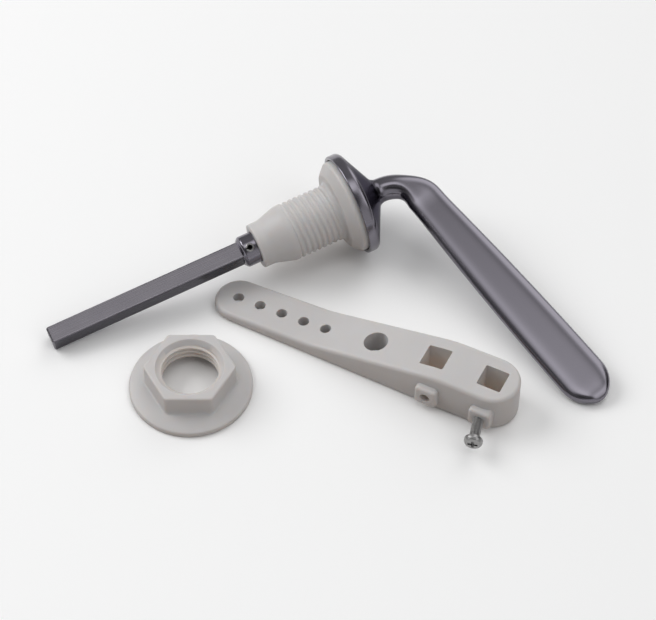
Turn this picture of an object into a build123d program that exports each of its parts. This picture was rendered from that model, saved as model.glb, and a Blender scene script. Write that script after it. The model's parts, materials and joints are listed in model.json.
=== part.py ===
import os
from math import asin, atan, cos, degrees, radians, sin, sqrt

from build123d import *

os.makedirs("parts", exist_ok=True)

# Screw thread shared by the bush and its back nut, M20 x 2
thread_r = 10.0
thread_depth = 0.7
thread_play = 0.15

# Square spindle bar, a quarter of an inch across the flats
bar_side = 6.35
bar_edge_r = 0.5
bar_end_x = -111.3
bar_tail = 0.5
bar_tail_taper = 40.0
socket_play = 0.03
socket_depth = 13.5

# Lever casting: skirt, cone, round shank; its axis is X and the skirt's open face lies at x = 0
skirt_r = 18.0
skirt_wall = 1.3
skirt_depth = 3.6
skirt_edge = 1.1
seat_depth = 2.5
cone_end_x = 10.8
shank_r = 5.5
shank_tip = 5.9
shank_edge = 1.2
skirt_lip = 0.35

# Lever casting: neck, bend and blade
neck_d = 8.5
section_flat = 0.3
neck_end_x = 12.7
bend_r = 12.6
neck_share = 0.35
bend_steps = 3
blade_splay = 11.2
blade_t = 4.8
blade_edge_r = 1.9
blade_root_w = 12.6
blade_root_r = 150.0
blade_wide = 17.2
blade_tip_at = 104.4
blade_tip_length = 10.5
blade_nose_r = 5.5

# Slotted spring pin that holds the bar in the shank and the bush on it
pin_r = 1.5
pin_bore_r = 0.95
pin_slot = 0.5
pin_stand = 0.5
pin_set_back = 2.7
pin_edge = 0.3
pin_play = 0.01
pin_turn = 19.0

# Threaded bush
bush_nose_x = -34.9
bush_nose_r = 7.9
bush_nose_length = 4.0
bush_cone_length = 7.0
bush_nose_edge = 0.4
flange_r = 16.4
flange_back_x = -4.6
flange_slope_x = -1.6
flange_slope_r = 13.2
bush_bore_play = 0.05
flange_face_play = 0.05

# Back nut
nut_flange_r = 20.6
nut_rim_t = 2.1
nut_slope_t = 1.4
nut_height = 11.4
nut_across_flats = 26.9
nut_corner_r = 1.6
nut_lead_in = 2.0
nut_recess_r = 12.6
nut_recess_depth = 4.0

# Arm with its link holes, square sockets and clamp screw bosses
arm_narrow_r = 8.2
arm_wide_r = 9.2
arm_centres = 94.4
arm_tip_t = 3.4
arm_link_t = 5.4
arm_link_end = 31.0
arm_ramp_end = 77.0
arm_head_t = 15.4
arm_blend_r = 40.0
arm_edge = 0.5
link_hole_r = 1.9
link_pitch = 8.3
link_count = 5
round_hole_r = 4.1
round_hole_at = 52.0
socket_room = 2.0
socket_side = bar_side + socket_room
socket_corner_r = 0.5
socket_at = (73.9, arm_centres)
boss_lead = (1.5, 0.4)
boss_at = [at + lead for at, lead in zip(socket_at, boss_lead)]
boss_side = 7.8
boss_stand = 2.2
boss_z = 6.6
boss_edge_r = 0.8

# Clamp screw, M3.5 x 12 pan head, started a little crooked in the boss of the outer socket
screw_r = 1.75
screw_play = 0.05
screw_length = 12.0
screw_started = 4.2
screw_lean = 14.0
screw_point = 0.5
head_r = 3.1
head_h = 2.2
head_dome = 1.2
head_flat_r = 1.7
head_shoulder_r = 2.75
head_shoulder = 0.75
recess_w = 0.9
recess_span = 3.4
recess_depth = 1.1

# Lay-out on the floor: places and headings of the three lots
lever_place = (6.6, 31.8)
lever_heading = 25.2
nut_place = (-45.5, -32.5)
arm_place = (-30.4, 2.5)
arm_heading = -27.0


def turned(points):
    """Solid turned about X from a half outline of (x, radius) points."""
    return revolve(make_face(Polyline(*points, close=True)), Axis.X)


# Lever: skirt, cone and shank, turned about the spindle axis
shank_end_x = bush_nose_x - shank_tip
seat_r = skirt_r - skirt_wall
cone_slope = (cone_end_x - skirt_depth) / (skirt_r - neck_d / 2)
core_r = neck_d / 4
skirt_outline = make_face(
    Polyline(
        (shank_end_x, 0),
        (shank_end_x, shank_r - shank_edge),
        (shank_end_x + shank_edge, shank_r),
        (seat_depth, shank_r),
        (seat_depth, seat_r),
        (0, seat_r),
        (0, skirt_r),
        (skirt_depth, skirt_r),
        (cone_end_x + cone_slope * (neck_d / 2 - core_r), core_r),
        (cone_end_x + cone_slope * (neck_d / 2 - core_r), 0),
        close=True,
    )
)
rim_corners = skirt_outline.vertices().filter_by(lambda v: v.Y > skirt_r - 0.01)
skirt_outline = chamfer(rim_corners.sort_by(Axis.X)[-1:], skirt_edge)
rim_corners = skirt_outline.vertices().filter_by(lambda v: v.X < 0.01 and v.Y > seat_r - 0.01)
skirt_outline = chamfer(rim_corners, skirt_lip)
skirt = revolve(skirt_outline, Axis.X)

# Lever: neck that turns through the bend and flattens into the root of the blade
bend_turn = 90 - blade_splay
neck_corner_r = neck_d / 2 - section_flat
blade_corner_r = min(blade_edge_r, blade_t / 2 - section_flat)


def bend_point(turn):
    """Point of the lever's centre line after it has turned by an angle."""
    a = radians(turn)
    return Vector(neck_end_x + bend_r * sin(a), -bend_r * (1 - cos(a)), 0)


def lever_section(share):
    """Section of the lever at a share of the bend, from round neck to flat blade root."""
    rise = max(0, (share - neck_share) / (1 - neck_share))
    ease = rise * rise * (3 - 2 * rise)
    width = neck_d + (blade_root_w - neck_d) * ease
    thick = neck_d + (blade_t - neck_d) * ease
    corner = neck_corner_r + (blade_corner_r - neck_corner_r) * ease
    a = radians(bend_turn * share)
    plane = Plane(bend_point(bend_turn * share), x_dir=(sin(a), cos(a), 0), z_dir=(cos(a), -sin(a), 0))
    return plane * RectangleRounded(width, thick, corner)


neck_start = Pos((skirt_depth + cone_end_x) / 2 - neck_end_x, 0, 0) * lever_section(0)
bend = loft([neck_start] + [lever_section(step / bend_steps) for step in range(bend_steps + 1)])

# Lever: blade, an outline of tangent arcs that swells towards the rounded tip, its edges rounded over
blade_root = bend_point(bend_turn)
blade_plane = Plane(
    blade_root,
    x_dir=(sin(radians(blade_splay)), -cos(radians(blade_splay)), 0),
    z_dir=(0, 0, 1),
)
axis_to_root = -blade_root.Y / cos(radians(blade_splay))
tip_x = blade_tip_at - axis_to_root
tip_start_x = tip_x - blade_tip_length
root_y = blade_root_w / 2
wide_y = blade_wide / 2
side_drop = wide_y - root_y
side_turn = 2 * degrees(atan(side_drop / tip_start_x))
side_r = tip_start_x / sin(radians(side_turn)) - blade_root_r
nose_x = blade_tip_length - blade_nose_r
shoulder_r = (nose_x**2 + wide_y**2 - blade_nose_r**2) / (2 * (wide_y - blade_nose_r))
shoulder_turn = degrees(asin(nose_x / (shoulder_r - blade_nose_r)))
side = JernArc((tip_start_x, wide_y), (-1, 0), side_r, side_turn)
flare = JernArc(side @ 1, side % 1, blade_root_r, -side_turn)
shoulder = JernArc((tip_start_x, wide_y), (1, 0), shoulder_r, -shoulder_turn)
nose = JernArc(shoulder @ 1, shoulder % 1, blade_nose_r, 2 * shoulder_turn - 180)
blade_edges = Curve() + [
    Line((0, -root_y), (0, root_y)),
    flare,
    side,
    shoulder,
    nose,
    mirror(shoulder, Plane.XZ),
    mirror(side, Plane.XZ),
    mirror(flare, Plane.XZ),
]
blade = Pos(0, 0, -blade_t / 2) * extrude(make_face(blade_edges), blade_t)
side_edges = [e for e in blade.edges().filter_by(Axis.Z, reverse=True) if abs(e.center().X) > 1]
blade = fillet(side_edges, blade_corner_r)
blade = blade_plane * blade
lever = skirt + bend + blade

# Lever: square socket for the bar and the cross hole for the spring pin
pin_x = bush_nose_x - pin_set_back
socket = bar_side + 2 * socket_play
lever -= Pos(shank_end_x + socket_depth / 2, 0, 0) * Box(socket_depth, socket, socket)
pin_hole_r = pin_r + pin_play
pin_spot = Pos(pin_x, 0, 0) * Rot(pin_turn, 0, 0)
lever -= pin_spot * Cylinder(pin_hole_r, 4 * shank_r)

# Spindle bar with its tail tapered off and the cross hole
bar_section = Plane.YZ * RectangleRounded(bar_side, bar_side, bar_edge_r)
tail_x = bar_end_x + bar_tail
bar = Pos(tail_x, 0, 0) * extrude(bar_section, shank_end_x + socket_depth - tail_x)
bar += Pos(tail_x, 0, 0) * extrude(bar_section, -bar_tail, taper=bar_tail_taper)
bar -= pin_spot * Cylinder(pin_hole_r, 2 * bar_side)

# Slotted spring pin, long enough to stand proud of the shank on both sides
pin_length = 2 * (shank_r + pin_stand)
pin = Cylinder(pin_r, pin_length)
pin = chamfer(pin.edges().filter_by(GeomType.CIRCLE), pin_edge)
pin -= Cylinder(pin_bore_r, 2 * pin_length)
pin -= Pos(-pin_r, 0, 0) * Box(2 * pin_r, pin_slot, 2 * pin_length)
pin = pin_spot * pin

# Threaded bush: flange that fits in the skirt, thread, cone and plain nose
flange_face_x = seat_depth - flange_face_play
thread_end_x = bush_nose_x + bush_nose_length + bush_cone_length
bush = turned(
    [
        (flange_face_x, shank_r + bush_bore_play),
        (flange_face_x, flange_r),
        (flange_slope_x, flange_r),
        (flange_back_x, flange_slope_r),
        (flange_back_x, thread_r),
        (thread_end_x, thread_r),
        (bush_nose_x + bush_nose_length, bush_nose_r),
        (bush_nose_x + bush_nose_edge, bush_nose_r),
        (bush_nose_x, bush_nose_r - bush_nose_edge),
        (bush_nose_x, shank_r + bush_bore_play),
    ]
)

# Back nut: flange, hexagon with a lead-in to its thread, recess on the underside
nut_root_z = nut_rim_t + nut_slope_t
nut_root_r = nut_across_flats / sqrt(3)
nut_outline = Polyline(
    (0, 0),
    (nut_flange_r, 0),
    (nut_flange_r, nut_rim_t),
    (nut_root_r, nut_root_z),
    (0, nut_root_z),
    close=True,
)
nut = revolve(Plane.XZ * make_face(nut_outline), Axis.Z)
hexagon = RegularPolygon(nut_across_flats / 2, 6, major_radius=False)
hexagon = fillet(hexagon.vertices(), nut_corner_r)
nut += extrude(hexagon, nut_height)
nut_bore_r = thread_r - thread_depth + thread_play
nut_bore = Polyline(
    (0, 0),
    (nut_recess_r, 0),
    (nut_recess_r, nut_recess_depth),
    (nut_bore_r, nut_recess_depth),
    (nut_bore_r, nut_height - nut_lead_in),
    (nut_bore_r + nut_lead_in, nut_height),
    (0, nut_height),
    close=True,
)
nut -= revolve(Plane.XZ * make_face(nut_bore), Axis.Z)

# Arm: plan of two round ends, cut to its side outline of low link end, ramp and deep head
arm_plan = make_hull(
    (Pos(0, 0) * Circle(arm_narrow_r)).edges() + (Pos(arm_centres, 0) * Circle(arm_wide_r)).edges()
)
arm_end = arm_centres + arm_wide_r + 1
arm_side = make_face(
    Polyline(
        (-arm_narrow_r - 1, 0),
        (-arm_narrow_r - 1, arm_tip_t),
        (arm_link_end, arm_link_t),
        (arm_ramp_end, arm_head_t),
        (arm_end, arm_head_t),
        (arm_end, 0),
        close=True,
    )
)
ramp_corners = arm_side.vertices().filter_by(lambda v: arm_link_end - 1 < v.X < arm_ramp_end + 1)
arm_side = fillet(ramp_corners, arm_blend_r)
arm = extrude(arm_plan, arm_head_t) & extrude(Plane.XZ * arm_side, 2 * arm_wide_r, both=True)
arm = chamfer(arm.faces().filter_by(lambda f: f.normal_at().Z > 0.5).edges(), arm_edge)

# Arm: bosses for the clamp screws, level with the square sockets
for at in boss_at:
    boss = Pos(at, -arm_wide_r, boss_z) * Box(boss_side, 2 * boss_stand, boss_side)
    arm += fillet(boss.edges().filter_by(Axis.Y), boss_edge_r)

# Arm: link holes, round hole, square sockets and screw holes, the outer one leaning with its screw
boss_face_y = -arm_wide_r - boss_stand
screw_seats = [
    Pos(at, boss_face_y, boss_z) * Rot(0, 0, lean) * Rot(90, 0, 0)
    for at, lean in zip(boss_at, (0, screw_lean))
]
for i in range(link_count):
    arm -= Pos(i * link_pitch, 0, 0) * Cylinder(link_hole_r, 4 * arm_head_t)
arm -= Pos(round_hole_at, 0, 0) * Cylinder(round_hole_r, 4 * arm_head_t)
socket_plan = RectangleRounded(socket_side, socket_side, socket_corner_r)
for at, seat in zip(socket_at, screw_seats):
    arm -= Pos(at, 0, 0) * extrude(socket_plan, 2 * arm_head_t, both=True)
    arm -= seat * Cylinder(screw_r + screw_play, -2 * boss_face_y)

# Clamp screw: pan head with a cross recess, started in its boss
head_outline = make_face(
    Polyline(
        (0, 0),
        (head_r, 0),
        (head_r, head_h - head_dome),
        (head_shoulder_r, head_h - head_dome + head_shoulder),
        (head_flat_r, head_h),
        (0, head_h),
        close=True,
    )
)
screw = revolve(Plane.XZ * head_outline, Axis.Z)
screw -= Pos(0, 0, head_h) * Box(recess_span, recess_w, 2 * recess_depth)
screw -= Pos(0, 0, head_h) * Box(recess_w, recess_span, 2 * recess_depth)
shank = Pos(0, 0, -screw_length / 2) * Cylinder(screw_r, screw_length)
shank = chamfer(shank.edges().filter_by(GeomType.CIRCLE).sort_by(Axis.Z)[0], screw_point)
screw += shank
screw_out = screw_length - screw_started
screw = screw_seats[-1] * Pos(0, 0, screw_out) * screw

# Lever at rest: let down until the skirt's rim, the bar's tail and the blade's tip all touch the floor
pitch = 0.0
roll = 0.0
for _ in range(6):
    leaning = Rot(0, -pitch, 0) * Rot(roll, 0, 0)
    rim_z, tail_z, tip_z = [(leaning * foot).bounding_box().min.Z for foot in (skirt, bar, blade)]
    pitch += degrees(asin((tail_z - rim_z) / -bar_end_x))
    roll += degrees(asin((tip_z - rim_z) / blade_tip_at))
lever_spot = Pos(*lever_place, -rim_z) * Rot(0, 0, lever_heading) * leaning
nut_spot = Pos(*nut_place, 0)
arm_spot = Pos(*arm_place, 0) * Rot(0, 0, arm_heading)

placed = {
    "lever_handle": lever_spot * lever,
    "spindle_bar": lever_spot * bar,
    "roll_pin": lever_spot * pin,
    "threaded_bush": lever_spot * bush,
    "back_nut": nut_spot * nut,
    "lever_arm": arm_spot * arm,
    "clamp_screw": arm_spot * screw,
}

# Whole set centred over the origin, with its lowest point on the floor
box = Compound(children=[Compound([s]) for s in placed.values()]).bounding_box()
shift = Pos(-box.center().X, -box.center().Y, -box.min.Z)
for name, solid in placed.items():
    export_step(shift * solid, f"parts/{name}.step")
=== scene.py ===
import json
import math

import bmesh
import bpy
import numpy as np
from mathutils import Matrix, Vector


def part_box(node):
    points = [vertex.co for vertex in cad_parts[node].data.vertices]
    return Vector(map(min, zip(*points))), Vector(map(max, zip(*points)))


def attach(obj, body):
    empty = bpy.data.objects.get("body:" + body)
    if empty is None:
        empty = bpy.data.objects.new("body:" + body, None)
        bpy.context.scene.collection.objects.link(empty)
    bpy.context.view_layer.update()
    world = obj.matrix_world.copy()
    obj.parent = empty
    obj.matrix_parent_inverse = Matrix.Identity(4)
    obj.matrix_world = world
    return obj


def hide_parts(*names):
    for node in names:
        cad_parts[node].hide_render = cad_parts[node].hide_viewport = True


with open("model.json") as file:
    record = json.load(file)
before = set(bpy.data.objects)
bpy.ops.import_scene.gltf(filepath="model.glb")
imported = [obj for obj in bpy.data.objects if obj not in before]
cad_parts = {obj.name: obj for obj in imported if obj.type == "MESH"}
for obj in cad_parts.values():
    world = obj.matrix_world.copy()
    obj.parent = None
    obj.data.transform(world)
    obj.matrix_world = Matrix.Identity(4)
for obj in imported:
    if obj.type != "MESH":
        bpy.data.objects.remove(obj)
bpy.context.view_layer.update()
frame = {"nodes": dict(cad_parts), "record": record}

# Sizes are in millimetres and follow the solids; meshes are made in metres
MM = 0.001

# Lever casting: skirt and shank turned about the spindle axis, then neck, bend and blade
SKIRT_R = 18.0
SKIRT_WALL = 1.3
SKIRT_DEPTH = 3.6
SKIRT_EDGE_R = 1.8
SKIRT_LIP_R = 0.45
SEAT_DEPTH = 2.5
SEAT_FILLET = 0.3
CONE_END_X = 10.8
CONE_NECK_R = 3.0
SHANK_R = 5.5
SHANK_END_X = -40.8
SHANK_EDGE = 1.2
SHANK_EDGE_R = 0.8
SHANK_FACE_R = 4.75
BAR_SOCKET = 6.41
BAR_SOCKET_CORNER = 0.1
BAR_SOCKET_DEPTH = 13.5
NECK_R = 4.25
NECK_END_X = 12.7
NECK_GUIDE = 3.0
BEND_R = 12.6
BEND_NECK_SHARE = 0.35
THIN_FROM = 2.6
THIN_ON = 4.0
BLADE_SPLAY = 11.2
BLADE_HALF_T = 2.4
BLADE_ROOT_W = 12.6
BLADE_ROOT_R = 150.0
BLADE_WIDE = 17.2
BLADE_TIP_AT = 104.4
BLADE_TIP_LENGTH = 10.5
BLADE_NOSE_R = 5.5
BLADE_CROWN = 5.0
BLADE_SIDE = 2.2
PIN_X = -37.6
PIN_HOLE_R = 1.51
PIN_BORE_R = 0.95
PIN_SHADOW_PLUG = 4.0
PIN_TURN = 19.0

# Threaded bush
THREAD_R = 10.0
THREAD_PITCH = 2.0
THREAD_DEPTH = 0.7
BUSH_GROOVE = 0.55
BUSH_BORE_R = 5.55
BUSH_NOSE_X = -34.9
BUSH_NOSE_R = 7.9
BUSH_CONE_X = -30.9
BUSH_THREAD_END_X = -23.9
FLANGE_R = 16.4
FLANGE_FACE_X = 2.45
FLANGE_SLOPE_X = -1.6
FLANGE_SLOPE_R = 13.2
FLANGE_BACK_X = -4.6
FLANGE_EDGE_R = 0.3
FLANGE_BACK_R = 1.2
BUSH_CONE_R = 7.0
BUSH_NOSE_EDGE_R = 0.5
BUSH_MOUTH_R = 0.2
BUSH_SEAM_X = -31.9
BUSH_THREAD_FORM = {"Run-out": 1.2, "Crest share": 0.06, "Root share": 0.48}

# Back nut
NUT_FLANGE_R = 20.6
NUT_RIM_T = 2.1
NUT_SLOPE_END_R = 16.13
NUT_FOOT_MAX_R = 16.03
NUT_ROOT_Z = 3.5
NUT_HEIGHT = 11.4
NUT_FLAT_R = 13.45
NUT_CORNER_R = 1.6
NUT_BORE_R = 9.45
NUT_LEAD_IN = 2.0
NUT_RECESS_R = 12.6
NUT_RECESS_Z = 4.0
NUT_RECESS_EDGE = 0.3
NUT_FOOT_FILLET = 0.9
NUT_TOP_EDGE = 0.7
NUT_RIM_FOOT_R = 0.5
NUT_RIM_TOP_R = 0.9
NUT_LEAD_EDGE_R = 0.5
NUT_THREAD_TOP = 11.0
NUT_WALL_SLACK = 0.1
NUT_THREAD_FORM = {"Run-out": 0.8, "Crest share": 0.14, "Root share": 0.42}

# Arm
ARM_NARROW_R = 8.2
ARM_WIDE_R = 9.2
ARM_CENTRES = 94.4
ARM_SLOPE_X = -9.2
ARM_TIP_T = 3.4
ARM_LINK_T = 5.4
ARM_LINK_END = 31.0
ARM_RAMP_END = 77.0
ARM_HEAD_T = 15.4
ARM_BLEND_R = 40.0
ARM_EDGE_R = 1.4
ARM_MOUTH_R = 0.5
LINK_HOLE_R = 1.9
LINK_PITCH = 8.3
LINK_COUNT = 5
ROUND_HOLE_R = 4.1
ROUND_HOLE_AT = 52.0
SOCKET_SIDE = 8.35
SOCKET_CORNER_R = 0.5
SOCKET_AT = (73.9, 94.4)
SOCKET_CUT_Z = (-5.0, 25.0)
BOSS_AT = (75.4, 94.8)
BOSS_SIDE = 7.8
BOSS_STAND = 2.2
BOSS_Z = 6.6
BOSS_EDGE_R = 1.5
BOSS_FACE_R = 1.0
SCREW_LEAN = 14.0
SCREW_HOLE_SLACK = 0.05

# Clamp screw
SCREW_R = 1.75
SCREW_PITCH = 0.6
SCREW_DEPTH = 0.34
SCREW_LENGTH = 12.0
SCREW_STARTED = 4.2
SCREW_POINT = 0.5
SCREW_POINT_R = 1.05
SCREW_NECK_X = -0.4
SCREW_THREAD_END_X = -0.45
SCREW_GROOVE_X = (-11.9, -0.5)
SCREW_THREAD_FORM = {"Run-out": 0.5, "Crest share": 0.08, "Root share": 0.45}
HEAD_R = 3.1
HEAD_H = 2.2
HEAD_SIDE = 1.0
HEAD_SEAT_R = 0.15
HEAD_RIM_R = 0.2
HEAD_SHOULDER = (1.85, 2.65)
HEAD_SHOULDER_R = 0.5
HEAD_FLAT_R = 1.5
HEAD_TOP_R = 0.8
HEAD_CAP_R = 0.3
RECESS_W = 0.9
RECESS_SPAN = 3.4
RECESS_DEPTH = 1.1
RECESS_TAPER = 0.6
RECESS_FLARE = 1.15
RECESS_OVERCUT = 0.4

# How finely the meshes are cut
LEVER_QUARTER = 32
QUARTER_POINTS = 241
SOCKET_ARC_POINTS = 9
LEVER_ROUND_STEPS = 8
BEND_RINGS = 30
BLADE_RINGS = 40
SHOULDER_RINGS = 14
NOSE_RINGS = 18
NOSE_END = math.radians(88.5)
RING_GAP = 0.2
BUSH_COLUMNS = 144
NUT_COLUMNS = 240
SCREW_COLUMNS = 48
DRILL_COLUMNS = 48
ROUND_HOLE_COLUMNS = 64
SMALL_BORE_COLUMNS = 32
ROWS_PER_TURN = 16
BUSH_ROW_GAP = 0.1
NUT_ROW_GAP = 0.05
SCREW_ROW_GAP = 0.02
NUT_EDGE_POINTS = 7
ARM_END_POINTS = 49
ARM_EDGE_STEPS = 4
ARM_SLICE_FROM = 1.0
ARM_SLICE = 1.5
BOSS_EDGE_POINTS = 6
MOUTH_STEPS = 3
MERGE_GAP = 1e-4
SLICE_GAP = 1e-5
MOUTH_ANGLE = math.radians(55)
SHARP_ANGLE = math.radians(38)

# Most values of a noise pattern lie in this span
NOISE_SPAN = {"From Min": 0.3, "From Max": 0.7}


def linear(hex_colour):
    """An sRGB hex colour as linear red, green, blue and alpha."""
    shares = [int(hex_colour[i:i + 2], 16) / 255 for i in (1, 3, 5)]
    return tuple(s / 12.92 if s <= 0.04045 else ((s + 0.055) / 1.055) ** 2.4 for s in shares) + (1.0,)


def add(tree, kind, inputs=(), **settings):
    """Adds a node, sets its properties, and fills its inputs with values or links."""
    made = tree.nodes.new(kind)
    for key, value in settings.items():
        setattr(made, key, value)
    for key, value in dict(inputs).items():
        if isinstance(value, bpy.types.NodeSocket):
            tree.links.new(value, made.inputs[key])
        else:
            made.inputs[key].default_value = value
    return made


# Places: the frames of the lever, nut and arm, read from the record's mounts and the solids' boxes
mounts = {mount["name"]: mount for mount in frame["record"]["mounts"]}


def mount_point(name):
    """Where a mount of the record lies, in the row frame."""
    return Vector(mounts[name]["pos_m"])


def frame_matrix(x_way, z_way, origin):
    """Matrix from a piece's own millimetres to the row frame."""
    y_way = z_way.cross(x_way)
    turn = Matrix((x_way, y_way, z_way)).transposed().to_4x4()
    return Matrix.Translation(origin) @ turn @ Matrix.Scale(MM, 4)


spindle_way = -Vector(mounts["flange_back"]["axis"]).normalized()
on_spindle = mount_point("bush_thread")
from_spindle = mount_point("flange_back") - on_spindle
flange_back_centre = on_spindle + spindle_way * from_spindle.dot(spindle_way)
lever_up = (mount_point("flange_back") - flange_back_centre).normalized()
lever_place = frame_matrix(spindle_way, lever_up, flange_back_centre - spindle_way * FLANGE_BACK_X * MM)

floor_way = Vector((0, 0, 1))
nut_centre = mount_point("nut_thread")
nut_centre.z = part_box("back_nut")[0].z
nut_place = frame_matrix(Vector((1, 0, 0)), floor_way, nut_centre)

arm_start = mount_point("arm_end_link_hole")
arm_way = mount_point("arm_round_hole") - arm_start
arm_way.z = 0
arm_start.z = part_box("lever_arm")[0].z
arm_place = frame_matrix(arm_way.normalized(), floor_way, arm_start)

# Turns that lay a piece's Z out along the arm's side, and that stand a piece's X upright
lying = Matrix.Rotation(math.radians(90), 4, "X")
upright = Matrix(((0, 1, 0, 0), (0, 0, 1, 0), (1, 0, 0, 0), (0, 0, 0, 1)))


def screw_seat(at, lean):
    """Face of a boss in the arm's millimetres, its Z out along the screw's way."""
    face = Matrix.Translation((at, -ARM_WIDE_R - BOSS_STAND, BOSS_Z))
    return face @ Matrix.Rotation(math.radians(lean), 4, "Z") @ lying


screw_out = Matrix.Translation((0, 0, SCREW_LENGTH - SCREW_STARTED))
screw_place = arm_place @ screw_seat(BOSS_AT[1], SCREW_LEAN) @ screw_out


def even_steps(outline, count):
    """The same outline, with points spaced evenly along its length."""
    outline = np.asarray(outline, float)
    runs = np.linalg.norm(np.diff(outline, axis=0), axis=1)
    along = np.concatenate([[0], np.cumsum(runs)])
    at = np.linspace(0, along[-1], count + 1)
    return np.stack([np.interp(at, along, outline[:, i]) for i in range(2)], axis=1)


def rounded(corners, steps=6):
    """Outline of (x, r) points through corners of (x, r, rounding); the two ends have no rounding."""
    outline = []
    for i, (x, r, rounding) in enumerate(corners):
        here = np.array((x, r), float)
        if rounding == 0:
            outline.append(here)
            continue
        back = np.array(corners[i - 1][:2]) - here
        on = np.array(corners[i + 1][:2]) - here
        back /= np.linalg.norm(back)
        on /= np.linalg.norm(on)
        half = math.acos(np.clip(back @ on, -1, 1)) / 2
        middle = (back + on) / np.linalg.norm(back + on)
        centre = here + middle * rounding / math.sin(half)
        start = here + back * rounding / math.tan(half) - centre
        end = here + on * rounding / math.tan(half) - centre
        turn = math.atan2(start[0] * end[1] - start[1] * end[0], start @ end)
        for a in np.linspace(0, turn, steps + 1):
            spin = np.array(((math.cos(a), -math.sin(a)), (math.sin(a), math.cos(a))))
            outline.append(centre + spin @ start)
    return np.array(outline)


def skin(name, rings, loop=False, thread_rows=()):
    """Closed mesh through rings of equal count, capped at both ends or joined into a loop."""
    count = len(rings[0])
    spans = len(rings) if loop else len(rings) - 1
    k = np.arange(count)
    ahead = (k + 1) % count
    faces = []
    for i in range(spans):
        a = i * count
        b = (i + 1) % len(rings) * count
        faces += np.stack([a + k, a + ahead, b + ahead, b + k], axis=1).tolist()
    if not loop:
        faces.append(k[::-1].tolist())
        faces.append((k + (len(rings) - 1) * count).tolist())
    mesh = bpy.data.meshes.new(name)
    mesh.from_pydata(np.concatenate(rings).tolist(), [], faces)
    faces_outward(mesh)
    if len(thread_rows):
        cut = np.zeros((len(rings), count), np.float32)
        cut[list(thread_rows)] = 1
        mesh.attributes.new("thread", "FLOAT", "POINT").data.foreach_set("value", cut.ravel())
    return mesh


def faces_outward(mesh):
    """Turns every face of a closed mesh outward."""
    work = bmesh.new()
    work.from_mesh(mesh)
    bmesh.ops.recalc_face_normals(work, faces=work.faces)
    work.to_mesh(mesh)
    work.free()


def link(shape, name=None):
    """Object for a mesh, curve, lamp or camera, at the origin of the scene."""
    made = bpy.data.objects.new(name or shape.name, shape)
    bpy.context.scene.collection.objects.link(made)
    return made


def settled(shape):
    """Plain mesh of an object with its modifiers applied; the object itself goes."""
    seen = shape.evaluated_get(bpy.context.evaluated_depsgraph_get())
    mesh = bpy.data.meshes.new_from_object(seen)
    mesh.name = shape.name
    bpy.data.objects.remove(shape)
    return mesh


def joined(mesh, tools, operation):
    """The mesh after cutting or adding other meshes, which go."""
    body = link(mesh)
    helpers = [link(tool) for tool in tools]
    for helper in helpers:
        step = body.modifiers.new(helper.name, "BOOLEAN")
        step.operation = operation
        step.solver = "EXACT"
        step.object = helper
    result = settled(body)
    for helper in helpers:
        bpy.data.objects.remove(helper)
    return result


def piece(mesh, name, place, material, body, node=None):
    """Finished piece: its place in its mesh, its finish, its body, and any solid that it stands for."""
    mesh.transform(place)
    mesh.materials.clear()
    mesh.materials.append(material)
    mesh.shade_smooth()
    mesh.set_sharp_from_angle(angle=SHARP_ANGLE)
    made = link(mesh, name)
    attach(made, body)
    if node:
        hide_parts(node)
    return made


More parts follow.
